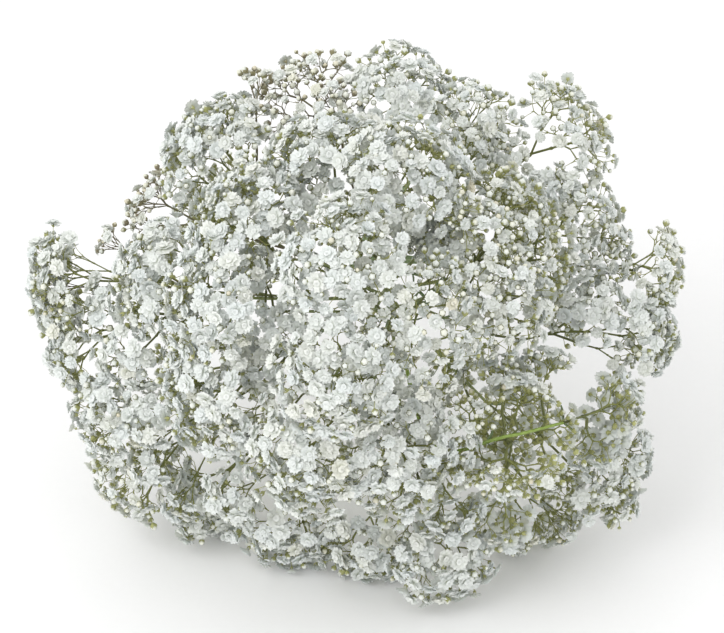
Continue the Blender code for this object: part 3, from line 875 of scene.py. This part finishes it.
def bud_body():
    """The closed white part of a bud: rings from its foot up, and a tip."""
    points = [point for ring in BUD_BODY for point in ring_points(*ring)] + [(0, 0, BUD_TIP)]
    faces = []
    for i in range(BUD_SIDES):
        j = (i + 1) % BUD_SIDES
        for low in range(0, len(points) - 1 - BUD_SIDES, BUD_SIDES):
            faces.append((low + i, low + j, low + BUD_SIDES + j, low + BUD_SIDES + i))
        top = len(points) - 1 - BUD_SIDES
        faces.append((top + i, top + j, len(points) - 1))
    along = [*np.repeat(BUD_WAYS, BUD_SIDES), BUD_TIP_WAY]
    return Shape().add(points, faces, np.resize((-1, 0, 1), len(points)), along)


flower_cup = bell(*FLOWER_CUP, FLOWER_TEETH)
bud_cup = bell(*BUD_CUP, BUD_TEETH)
bud = bud_body()
print(f"A bud has {bud.triangles() + bud_cup.triangles()} triangles")

# %% [markdown]
# Most sprays are full of open flowers. The photograph shows a few that differ: thin, dry ones at the
# top left and right rims, where the twigs show, and greener ones with many buds near the bright
# branch. Here the five habits get their numbers, and each spray's flowers find their places.

# %% How full each spray is
# Flowers to the square centimetre, buds for each flower, the size of a flower against a full spray's,
# how dry the twigs are and how faded the flowers, the last two from 0 to 1
HABITS = {
    "full": (1.75, 0.70, 1.0, 0.14, 0.25),
    "airy": (1.35, 1.1, 0.84, 0.30, 0.33),
    "dry": (0.8, 2.4, 0.75, 0.88, 0.50),
    "budding": (1.15, 2.0, 0.80, 0.05, 0.35),
    "green": (0.30, 8.0, 0.75, 0.0, 0.35),
}
FLOWER_SIZE = 4.7 * MM
FLOWER_SIZE_SPREAD = 0.10
FLOWER_SIZE_LIMITS = (0.75, 1.25)
BUD_SIZES = (1.1 * MM, 2.2 * MM)
DEPTH = 0.40
REACH = 0.92
WANDER = 0.05
FACING_AHEAD = 1.1
FACING_SPREAD = 0.5
FACING_WOBBLE = 0.28
GOLDEN_ANGLE = math.pi * (3 - math.sqrt(5))


class Bloom:
    """The flowers and buds of one spray: where each one is, its facing, its size and its kind."""

    def __init__(self, spray):
        per_area, buds, size, self.dry, self.faded = HABITS[spray.habit]
        opened = round(per_area * math.pi * (spray.radius / (10 * MM)) ** 2)
        closed = round(opened * buds)
        self.spray = spray
        domes = zip(self.dome(opened), self.dome(closed))
        self.places, self.facings = [np.concatenate(both) for both in domes]
        self.is_bud = np.arange(opened + closed) >= opened
        grown = rng.normal(1, FLOWER_SIZE_SPREAD, opened).clip(*FLOWER_SIZE_LIMITS)
        self.sizes = np.concatenate((grown * FLOWER_SIZE * size, rng.uniform(*BUD_SIZES, closed)))

    def dome(self, count):
        """Places spread evenly over the spray's dome, some deeper in, and the way each faces."""
        spray = self.spray
        number = np.arange(count)
        reach = REACH * np.sqrt((number + 0.5) / count)[:, None]
        angle = (number * GOLDEN_ANGLE + rng.uniform(0, math.tau))[:, None]
        way = spray.first * np.cos(angle) + spray.second * np.sin(angle)
        depth = DEPTH * rng.uniform(0, 1, (count, 1)) ** 2
        height = DOME_HEIGHT * (1 - reach**2) - depth
        wander = rng.normal(0, WANDER, (count, 3))
        places = spray.middle + (way * reach + spray.axis * height + wander) * spray.radius
        facings = spray.axis * (FACING_AHEAD - FACING_SPREAD * reach) + way * reach
        return places, unit(unit(facings) + rng.normal(0, FACING_WOBBLE, (count, 3)))


blooms = [Bloom(spray) for spray in sprays + side_blooms]
flower_count = sum(int((~bloom.is_bud).sum()) for bloom in blooms)
bud_count = sum(int(bloom.is_bud.sum()) for bloom in blooms)
print(f"{flower_count} flowers and {bud_count} buds")

# %% [markdown]
# Two flowers can't be in the same place. So all of them are pushed apart a little, again and again,
# and kept above the surface and inside the plant's own box, the way a crowded head fills its room.
# Some still overlap at the end, because each is also drawn back to where it started.

# %% Making room
ROUNDS = 8
CLOSENESS = 0.78
PUSH = 0.5
HOMEWARD = 0.12
EDGE_ROOM = 0.9

places = np.concatenate([bloom.places for bloom in blooms])
sizes = np.concatenate([bloom.sizes for bloom in blooms])
home = places.copy()
low = np.array(cad_box[0])
high = np.array(cad_box[1])
for _ in range(ROUNDS):
    tree = KDTree(len(places))
    for number, place in enumerate(places):
        tree.insert(place, number)
    tree.balance()
    moves = np.zeros_like(places)
    for number, place in enumerate(places):
        for near, other, gap in tree.find_range(place, 2 * sizes[number]):
            wanted = (sizes[number] + sizes[other]) * CLOSENESS
            if other != number and 0 < gap < wanted:
                moves[number] += (place - np.array(near)) / gap * (wanted - gap) * PUSH
    places += moves.clip(-FLOWER_SIZE, FLOWER_SIZE) + (home - places) * HOMEWARD
    room = (sizes * EDGE_ROOM)[:, None]
    places = np.minimum(np.maximum(places, low + room), high - room)
start = 0
for bloom in blooms:
    bloom.places = places[start : start + len(bloom.places)]
    start += len(bloom.places)
print("The flowers have room")

# %% [markdown]
# A gypsophila twig forks in two, and each arm forks again, until two or three flowers are left, each
# on its own thin stalk. The same rule in reverse builds the twigs here: the flowers that one twig
# has to reach are split into two halves along the way they spread, the twig goes part of the way to
# each half's middle, and so on. A twig is as thick as the number of flowers it carries asks for, it
# swells where it forks, and a pair of tiny scale leaves sits on each fork.

# %% Growing the twigs
STALK_RADIUS = 0.21 * MM
THICKENING = 0.30
LAST_GROUP = 3
STEP_SHARE = 0.40
LAST_SHARE = 0.45
SPLIT_SHARES = (0.38, 0.62)
# Rings along a twig and along a stalk: the share of the way, and how thick against its plain radius
TWIG_STATIONS = np.array((0, 0.12, 0.88, 1.0))
TWIG_SWELLS = np.array((1.5, 0.95, 0.95, 1.5))
STALK_STATIONS = np.array((0, 0.5, 1.0))
STALK_SWELLS = np.array((1.3, 0.9, 1.15))
# Thin twigs keep only these of a twig's stations, and have fewer sides
THIN_STATIONS = (0, 1, 3)
THIN_SIDES = 3
THICK_SIDES = 5
THICK_LEVELS = 3
LEVELS = 8
BOW = 0.35
# How a curve's four points blend, for each power of the way, from 0 to 3
BEZIER = np.array(((1, 0, 0, 0), (-3, 3, 0, 0), (3, -6, 3, 0), (-1, 3, -3, 1)))
SCALE_LENGTH = 1.6 * MM
SCALE_SIZES = (0.8, 1.3)
# Places along the map: where twigs end, the furthest they may reach, and how much a stalk adds
TWIG_WAY = 0.72
TWIG_WAY_LIMIT = 0.8
STALK_WAY = 0.12
TWIG_TONE_SPREAD = 0.05
STALK_TONE_SPREAD = 0.08
TONE_LIMITS = (0.03, 0.97)


def bowed(starts, leaving, stops, arriving, stations):
    """Bezier curves that leave and arrive in given directions."""
    reach = np.linalg.norm(stops - starts, axis=1, keepdims=True) * BOW
    points = np.stack((starts, starts + leaving * reach, stops - arriving * reach, stops), 1)
    blend = (stations[:, None] ** np.arange(len(BEZIER))) @ BEZIER
    return np.einsum("sk,nkc->nsc", blend, points)


def scale_leaf():
    """A tiny keeled leaf that stands off a fork, pointing along X."""
    points = ((0, -0.22, 0), (0, 0.22, 0), (0.35, 0, 0.3), (0.6, 0, 1))
    faces = ((0, 2, 3), (2, 1, 3), (0, 1, 2))
    return Shape().add(points, faces, (-1, 1, 0, 0), (0.8, 0.8, 0.84, 0.88))


class Growth:
    """The forked twigs of one spray, gathered as segments and stalks."""

    def __init__(self, tips):
        self.tips = tips
        self.twigs = []
        self.stalks = []

    def grow(self, start, heading, wanted, level):
        tips = self.tips[wanted]
        middle = tips.mean(0)
        last = len(wanted) <= LAST_GROUP
        share = LAST_SHARE if last else STEP_SHARE
        fork = start + (middle - start) * share
        arriving = unit(middle - start)
        radius = STALK_RADIUS * len(wanted) ** THICKENING
        self.twigs.append((start, heading, fork, arriving, radius, level))
        if last:
            for tip in wanted:
                self.stalks.append((fork, arriving, tip))
            return
        across = tips - middle
        spread = np.linalg.svd(across, full_matrices=False)[2][0]
        order = np.argsort(across @ spread)
        cut = int(len(wanted) * rng.uniform(*SPLIT_SHARES) + 0.5)
        for part in (order[:cut], order[cut:]):
            towards = unit(tips[part].mean(0) - fork)
            self.grow(fork, unit(arriving + towards), wanted[part], level + 1)

    def onto(self, heap, dryness, facings):
        """Adds every segment, stalk and scale leaf to the heap."""
        starts, leaving, stops, arriving, radii, levels = [np.array(part) for part in zip(*self.twigs)]
        tones = (dryness + rng.normal(0, TWIG_TONE_SPREAD, len(starts))).clip(*TONE_LIMITS)
        lines = bowed(starts, leaving, stops, arriving, TWIG_STATIONS)
        along = (TWIG_WAY * (levels[:, None] + TWIG_STATIONS) / LEVELS).clip(0, TWIG_WAY_LIMIT)
        swollen = radii[:, None] * TWIG_SWELLS
        thick = levels <= THICK_LEVELS
        heap.tubes(lines[thick], swollen[thick], THICK_SIDES, tones[thick], along[thick])
        few = np.ix_(~thick, THIN_STATIONS)
        heap.tubes(lines[few], swollen[few], THIN_SIDES, tones[~thick], along[few])
        forks, headings, wanted = [np.array(part) for part in zip(*self.stalks)]
        stalk_tones = (dryness + rng.normal(0, STALK_TONE_SPREAD, len(forks))).clip(*TONE_LIMITS)
        lines = bowed(forks, headings, self.tips[wanted], facings[wanted], STALK_STATIONS)
        along = np.broadcast_to(TWIG_WAY + STALK_WAY * STALK_STATIONS, lines.shape[:2])
        thin = np.broadcast_to(STALK_RADIUS * STALK_SWELLS, lines.shape[:2])
        heap.tubes(lines, thin, THIN_SIDES, stalk_tones, along)
        turns = rng.uniform(0, math.tau, len(stops))
        lengths = rng.uniform(*SCALE_SIZES, len(stops)) * SCALE_LENGTH
        for turn in (0, math.pi):
            heap.place(scale_leaf(), stops, arriving, lengths, turns + turn, tones, GREEN_SPREAD)


# %% [markdown]
# Now each spray is put together in two pieces: the white flowers and bud tips, and everything green
# that carries them. Both stand for the spray's solid. The side blooms have no solids of their own, so
# those of one habit on one side of the head share a pair of pieces.

# %% Sprays
HALF_OPEN_SHARE = 0.16
FADED_SPREAD = 0.16
TONE_STEP = 0.012
# How far under its middle the stalk of a flower and of a bud ends, in its own radii
FLOWER_STALK_DROP = 0.5
BUD_STALK_DROP = 1.1
# Buds are creamier than flowers by this much tone, up to a limit
BUD_FADES = 0.2
BUD_TONE_LIMIT = 0.9
CUP_TONE_SPREAD = 0.1
# The spray's first twig: how far it reaches into its host, then its radii and ways along the map
FOOT_SINK = 0.8 * MM
FOOT_SIDES = 6
FOOT_RADII = np.array(((0.85, 0.75, 0.68, 0.72),)) * MM
FOOT_WAYS = np.array(((0.0, 0.02, 0.05, 0.09),))


def grow_bloom(bloom, petals_heap, green_heap):
    """Adds a bloom's flowers and buds to one heap, and its cups and twigs to the other."""
    spray = bloom.spray
    opened = ~bloom.is_bud
    drop = np.where(opened, FLOWER_STALK_DROP, BUD_STALK_DROP)[:, None]
    feet = bloom.places - bloom.facings * bloom.sizes[:, None] * drop
    spins = rng.uniform(0, math.tau, len(feet))
    tones = (bloom.faded + rng.normal(0, FADED_SPREAD, len(feet))).clip(*TONE_LIMITS)
    kinds = rng.integers(0, len(open_flowers), len(feet))
    half = rng.random(len(feet)) < HALF_OPEN_SHARE

    def those(chosen):
        return [values[chosen] for values in (bloom.places, bloom.facings, bloom.sizes, spins)]

    for shapes, which in ((open_flowers, opened & ~half), (half_open_flowers, opened & half)):
        for number, shape in enumerate(shapes):
            chosen = which & (kinds % len(shapes) == number)
            petals_heap.place(shape, *those(chosen), tones[chosen], TONE_STEP)
    faded = (tones[~opened] + BUD_FADES).clip(0, BUD_TONE_LIMIT)
    petals_heap.place(bud, *those(~opened), faded, TONE_STEP)
    dryness = (bloom.dry + rng.normal(0, CUP_TONE_SPREAD, len(feet))).clip(*TONE_LIMITS)
    green_heap.place(bud_cup, *those(~opened), dryness[~opened], GREEN_SPREAD)
    green_heap.place(flower_cup, *those(opened), dryness[opened], GREEN_SPREAD)
    growth = Growth(feet)
    growth.grow(spray.fork, unit(spray.fork - spray.twig[2]), np.arange(len(feet)), 1)
    growth.onto(green_heap, bloom.dry, bloom.facings)
    root = spray.twig[0] - unit(spray.twig[1] - spray.twig[0]) * FOOT_SINK
    foot = np.array([[root, *spray.twig[1:], spray.fork]])
    green_heap.tubes(foot, FOOT_RADII, FOOT_SIDES, np.array([bloom.dry]), FOOT_WAYS)


groups = {}
for bloom in blooms:
    group = bloom.spray.name
    if not bloom.spray.nodes:
        hand = "left" if bloom.spray.middle[0] < HEAD_MIDDLE[0] else "right"
        group = f"side_blooms_{bloom.spray.habit}_{hand}"
    heaps = groups.setdefault(group, (Heap(), Heap(), bloom.spray.nodes))
    grow_bloom(bloom, *heaps[:2])
for group, (petals_heap, green_heap, nodes) in groups.items():
    petals_heap.piece(group + "_flowers", petal, "blossom", *nodes)
    green_heap.piece(group + "_twigs", twig, "blossom", *nodes)
print(f"{len(made_triangles)} pieces with {sum(made_triangles)} triangles")
print(f"The largest has {max(made_triangles)} triangles")

# %% [markdown]
# The stem and the branches are round tubes along the centre lines of their solids. The corners of
# those lines are smoothed with a curve that passes through each of them. A tube has more points
# round it than its solid, and a rounded end.

# %% Stem and branches
FINE_SIDES = 14
SMOOTH_STEPS = 4
# How the four values round a stretch blend along it, for each power of the way, from 0 to 3
BLEND = np.array(((0, 2, 0, 0), (-1, 0, 1, 0), (2, -5, 4, -1), (-1, 3, -3, 1))) / 2
# Each ring of a rounded tip: how far out and how thick, in radii
DOME_STEPS = ((0.35, 0.93), (0.7, 0.7), (1.0, 0.02))
# Each ring of the cut face: its depth in millimetres, its share of the radius and of the map's room
CUT_STEPS = ((0.0, 1.0, 0.9), (0.05, 0.85, 0.7), (0.08, 0.5, 0.4), (0.0, 0.02, 0.1))
SKIN_START = CUT_FACE + 0.005
SKIN_LENGTH = 0.98 - CUT_FACE
SKIN_TONE = np.array([0.5])
SKIN_WIDTH = 0.96


def smoothed(values):
    """Points on a smooth curve through every value."""
    ends = np.vstack((2 * values[0] - values[1], values, 2 * values[-1] - values[-2]))
    powers = (np.arange(SMOOTH_STEPS) / SMOOTH_STEPS)[:, None] ** np.arange(len(BLEND))
    made = [powers @ BLEND @ ends[i : i + len(BLEND)] for i in range(len(values) - 1)]
    return np.vstack((*made, values[-1]))


def shoot(line, radii, with_cut):
    """The fine surface of a stem or branch, on the centre line of its solid."""
    joined = smoothed(np.column_stack((line, radii)))
    line, radii = joined[:, :3], joined[:, 3]
    onward = unit(line[-1] - line[-2])
    tip = [line[-1] + onward * radii[-1] * step for step, _ in DOME_STEPS]
    along = np.concatenate(([0], np.cumsum(np.linalg.norm(np.diff(line, axis=0), axis=1))))
    along = SKIN_START + SKIN_LENGTH * along / along[-1]
    line = np.vstack((line, tip))
    radii = np.concatenate((radii, [radii[-1] * share for _, share in DOME_STEPS]))
    along = np.concatenate((along, [along[-1]] * len(tip)))
    heap = Heap()
    heap.tubes(line[None], radii[None], FINE_SIDES, SKIN_TONE, along[None], SKIN_WIDTH)
    if with_cut:
        depths, sizes, ways = np.array(CUT_STEPS).T[:, None]
        face = line[0] + unit(line[0] - line[1]) * depths[..., None] * MM
        heap.tubes(face, radii[0] * sizes, FINE_SIDES, SKIN_TONE, CUT_FACE * ways, SKIN_WIDTH)
    return heap


stem_line = rings("main_stem", STEM_SIDES, STEM_FOOT_RADIUS)
shoot(*stem_line, True).piece("main_stem_shoot", stem_green, "stem", "main_stem")
for node, branch_line in branch_lines.items():
    look = bright_green if node == "branch_bright" else stem_green
    shoot(*branch_line, False).piece(node + "_shoot", look, "branch", node)
print("Stem and branches are in place")

# %% [markdown]
# Pairs of narrow little leaves sit at three places along each branch, one on either side. The solids
# have none, so these stand for no node.

# %% Leaf pairs on the branches
# Each row of a leaf: the way along it, its half width and its height, in leaf lengths
LEAF_ROWS = (
    (0.0, 0.035, 0.0),
    (0.2, 0.075, 0.16),
    (0.45, 0.085, 0.30),
    (0.75, 0.055, 0.38),
    (1.0, 0.008, 0.36),
)
LEAF_LENGTHS = (9 * MM, 15 * MM)
LEAF_TONE = 0.5
LEAF_SPREAD = 0.45
KEEL = 0.03
PAIR_SHARES = (0.3, 0.62, 0.97)


def narrow_leaf():
    """A keeled leaf along X that arches away from the branch."""
    points = []
    faces = []
    along = []
    for number, (way, half, height) in enumerate(LEAF_ROWS):
        points += [(way, side * half, height - KEEL * (1 - abs(side))) for side in (-1, 0, 1)]
        along += [way] * 3
        if number:
            low = 3 * number - 3
            faces += [(low + side, low + side + 1, low + side + 4, low + side + 3) for side in (0, 1)]
    return Shape().add(points, faces, (-1, 0, 1) * len(LEAF_ROWS), along)


leaf_pairs = 0
for node, (line, _) in branch_lines.items():
    knots = np.unique([round(share * (len(line) - 1)) for share in PAIR_SHARES])
    knots = knots[knots > 0]
    heap = Heap()
    ways = unit(line[knots] - line[knots - 1])
    turns = rng.uniform(0, math.tau, len(knots))
    for turn in (0, math.pi):
        lengths = rng.uniform(*LEAF_LENGTHS, len(knots))
        tones = np.full(len(knots), LEAF_TONE)
        heap.place(narrow_leaf(), line[knots], ways, lengths, turns + turn, tones, LEAF_SPREAD)
    heap.piece(node + "_leaves", leaf_green, "leaf")
    leaf_pairs += len(knots)
print(leaf_pairs, "pairs of small leaves")

# %% [markdown]
# The leaves keep the outline, keel and arch of their solids. Each solid is copied, its corners are
# joined and Subdivision Surface rounds it, which is the usual way to get a soft form from a plain
# one.

# %% Leaf blades
# How much of the map a blade takes up across and along, and where it starts along
BLADE_WIDTH = 0.9
BLADE_LENGTH = 0.96
BLADE_START = 0.02
ROUNDING_LEVELS = 2

for node in nodes_of("leaf"):
    places, triangles = solid(node)
    mesh = bpy.data.meshes.new(node + "_blade")
    mesh.from_pydata(places.tolist(), [], triangles.tolist())
    centre = places.mean(0)
    stretch = np.linalg.svd(places - centre, full_matrices=False)[2]
    length = (places - centre) @ stretch[0]
    width = (places - centre) @ stretch[1]
    stem_side = np.linalg.norm(places - stem_line[0].mean(0), axis=1)
    if np.corrcoef(length, stem_side)[0, 1] < 0:
        length = -length
    way = (length - length.min()) / np.ptp(length)
    across = 0.5 + width / np.ptp(width) * BLADE_WIDTH
    blade = finished(mesh, np.column_stack((across, way * BLADE_LENGTH + BLADE_START)), leaf_green)
    rounding = blade.modifiers.new("rounding", "SUBSURF")
    rounding.levels = ROUNDING_LEVELS
    rounding.render_levels = ROUNDING_LEVELS
    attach(blade, "root")
    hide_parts(node)
print("Leaves are in place")
